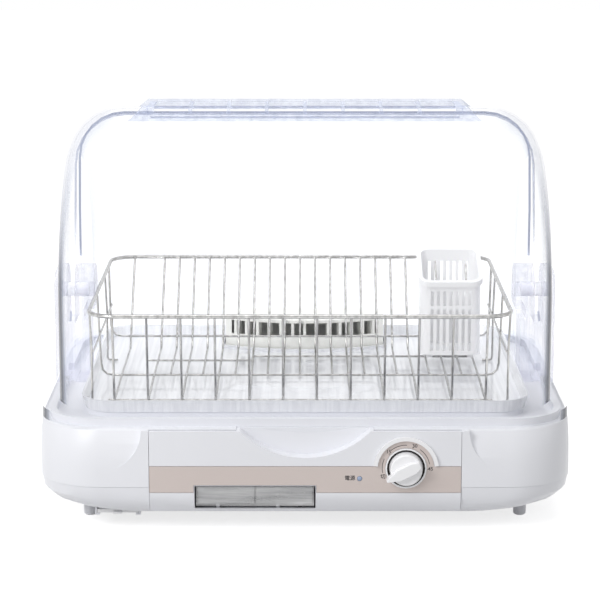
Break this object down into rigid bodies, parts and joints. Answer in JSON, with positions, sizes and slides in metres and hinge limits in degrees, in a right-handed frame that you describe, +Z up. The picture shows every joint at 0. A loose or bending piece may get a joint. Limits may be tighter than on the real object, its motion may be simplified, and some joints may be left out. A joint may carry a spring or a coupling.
{
  "type": "electric dish dryer",
  "caption": "Countertop electric dish dryer: clear two-part hood over a wire basket and drip tray, on a white base with timer dial, drain cup and warm-air blower.",
  "frame": {"origin": "centre of the bounding box in plan, on the table under the feet", "axes": "+Z up, +X to the right along the front, -Y towards the user"},
  "size_m": [0.482, 0.409, 0.3645],
  "materials": {
    "white_plastic": "satin",
    "outlet_plastic": "satin",
    "clear_plastic": "clear gloss",
    "tray_plastic": "clear gloss",
    "accent_plastic": "satin",
    "lamp_plastic": "gloss",
    "stainless_wire": "bright drawn wire",
    "black_rubber": "matt",
    "grey_plastic": "matt",
    "motor_steel": "zinc plated",
    "heater_aluminium": "plain"
  },
  "bodies": {
    "base": {"lower_pan": "white_plastic", "upper_case": "white_plastic", "front_panel": "white_plastic", "accent_band": "accent_plastic", "dial_collar": "white_plastic", "dial_bezel": "white_plastic", "power_lamp": "lamp_plastic", "timer_body": "grey_plastic", "foot_front_left": "white_plastic", "foot_front_right": "white_plastic", "foot_rear_left": "white_plastic", "foot_rear_right": "white_plastic", "warm_air_outlet": "outlet_plastic", "air_duct": "grey_plastic", "heater_element": "heater_aluminium", "blower_casing": "grey_plastic", "fan_motor": "motor_steel", "cord_gland": "black_rubber", "hinge_bracket_left": "clear_plastic", "hinge_bracket_right": "clear_plastic", "hinge_pin_left": "white_plastic", "hinge_pin_right": "white_plastic", "rear_cover": "clear_plastic"},
    "hood": {"front_hood": "clear_plastic", "exhaust_vent": "clear_plastic"},
    "knob": {"timer_knob": "white_plastic"},
    "cup": {"drain_cup": "clear_plastic", "drain_plug": "black_rubber"},
    "filter": {"intake_filter": "grey_plastic"},
    "fan": {"fan_wheel": "grey_plastic"},
    "tray": {"drain_tray": "tray_plastic"},
    "basket": {"basket": "stainless_wire"},
    "holder": {"cutlery_holder": "white_plastic"}
  },
  "joints": [
    {"name": "hood_hinge", "type": "hinge", "parent": "base", "child": "hood", "pos_m": [0, 0.022, 0.183], "axis": [-1, 0, 0], "range_deg": [0, 75]},
    {"name": "knob_turn", "type": "hinge", "parent": "base", "child": "knob", "pos_m": [0.08979, -0.1904, 0.0619], "axis": [0, 1, 0], "range_deg": [0, 210]},
    {"name": "cup_slide", "type": "slide", "parent": "base", "child": "cup", "axis": [0, -1, 0], "range_m": [0, 0.075]},
    {"name": "filter_slide", "type": "slide", "parent": "base", "child": "filter", "axis": [0, -1, 0], "range_m": [0, 0.06]},
    {"name": "fan_spin", "type": "hinge", "parent": "base", "child": "fan", "pos_m": [-0.118, 0.069, 0.047], "axis": [0, 0, 1], "continuous": true},
    {"name": "tray_lift", "type": "slide", "parent": "base", "child": "tray", "axis": [0, 0, 1], "range_m": [0, 0.012]},
    {"name": "basket_lift", "type": "slide", "parent": "tray", "child": "basket", "axis": [0, 0, 1], "range_m": [0, 0.025]},
    {"name": "holder_lift", "type": "slide", "parent": "basket", "child": "holder", "axis": [0, 0, 1], "range_m": [0, 0.06]}
  ]
}
